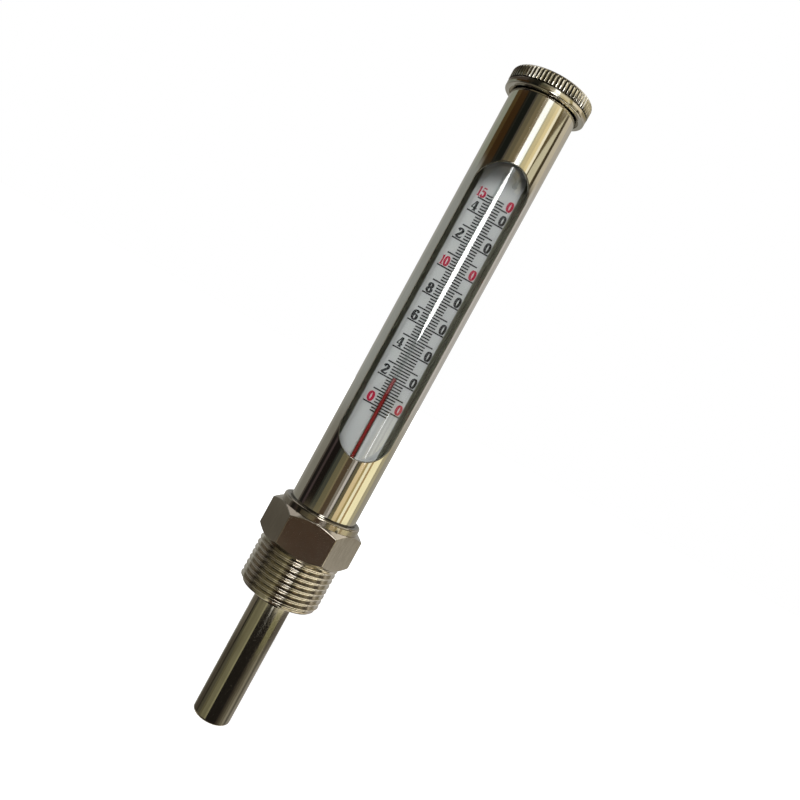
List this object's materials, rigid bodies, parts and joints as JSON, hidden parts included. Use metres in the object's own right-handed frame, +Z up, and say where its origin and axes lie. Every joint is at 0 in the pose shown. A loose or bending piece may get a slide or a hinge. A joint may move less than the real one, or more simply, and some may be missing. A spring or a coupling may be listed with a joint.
{
  "type": "stem thermometer",
  "caption": "Glass thermometer with an enclosed scale in a windowed metal case, with a knurled cap, hexagon, pipe thread and immersion stem.",
  "frame": {"origin": "on the axis in the seating plane under the hexagon, where the mounting thread begins", "axes": "+Z up the case to the cap, -Z along the stem into the process, -Y out of the window in front of the scale"},
  "size_m": [0.0312, 0.0278, 0.221],
  "materials": {
    "satin_nickel": "turned brass, satin nickel plating",
    "bright_nickel": "brass tube, bright nickel plating",
    "stem_nickel": "brass tube, dull nickel plating",
    "packing": "pressed metal powder",
    "fibre": "glass fibre cord",
    "rubber": "black rubber",
    "clear_glass": "clear drawn glass",
    "milk_glass": "white milk glass",
    "black_print": "fired black print",
    "red_print": "fired red print",
    "cork": "cork",
    "tie_wire": "nickel strip",
    "red_liquid": "dyed red liquid",
    "gasket": "red fibre sheet"
  },
  "bodies": {
    "connector_body": {"connector": "satin_nickel", "stem_tube": "stem_nickel", "heat_packing": "packing", "fibre_plug": "fibre", "lower_cushion": "rubber", "glass_sheath": "clear_glass", "capillary": "clear_glass", "scale_plate": "milk_glass", "scale_marks": "black_print", "scale_saddle": "cork", "scale_plug": "cork", "capillary_tie": "tie_wire", "bulb_liquid": "red_liquid", "lower_ring": "rubber", "upper_ring": "rubber"},
    "liquid_body": {"liquid_column": "red_liquid"},
    "case_gasket_body": {"case_gasket": "gasket"},
    "case_body": {"case_tube": "bright_nickel"},
    "cap_pad_body": {"upper_cushion": "rubber", "cap_gasket": "gasket"},
    "cap_body": {"cap": "satin_nickel"}
  },
  "joints": [
    {"name": "case_lift", "type": "slide", "parent": "connector_body", "child": "case_gasket_body", "axis": [0, 0, 1], "range_m": [0, 0.006]},
    {"name": "case_turn", "type": "hinge", "parent": "case_gasket_body", "child": "case_body", "pos_m": [0, 0, 0.01], "axis": [0, 0, 1], "range_deg": [0, 2160]},
    {"name": "cap_lift", "type": "slide", "parent": "case_body", "child": "cap_pad_body", "axis": [0, 0, 1], "range_m": [0, 0.004]},
    {"name": "cap_turn", "type": "hinge", "parent": "cap_pad_body", "child": "cap_body", "pos_m": [0, 0, 0.158], "axis": [0, 0, 1], "range_deg": [0, 1440]},
    {"name": "reading", "type": "slide", "parent": "connector_body", "child": "liquid_body", "axis": [0, 0, 1], "range_m": [-0.0121, 0.0628]}
  ],
  "couplings": [
    {"joint": "case_lift", "follows": "case_turn", "m_per_rad": 0.00015915},
    {"joint": "cap_lift", "follows": "cap_turn", "m_per_rad": 0.00015915}
  ]
}
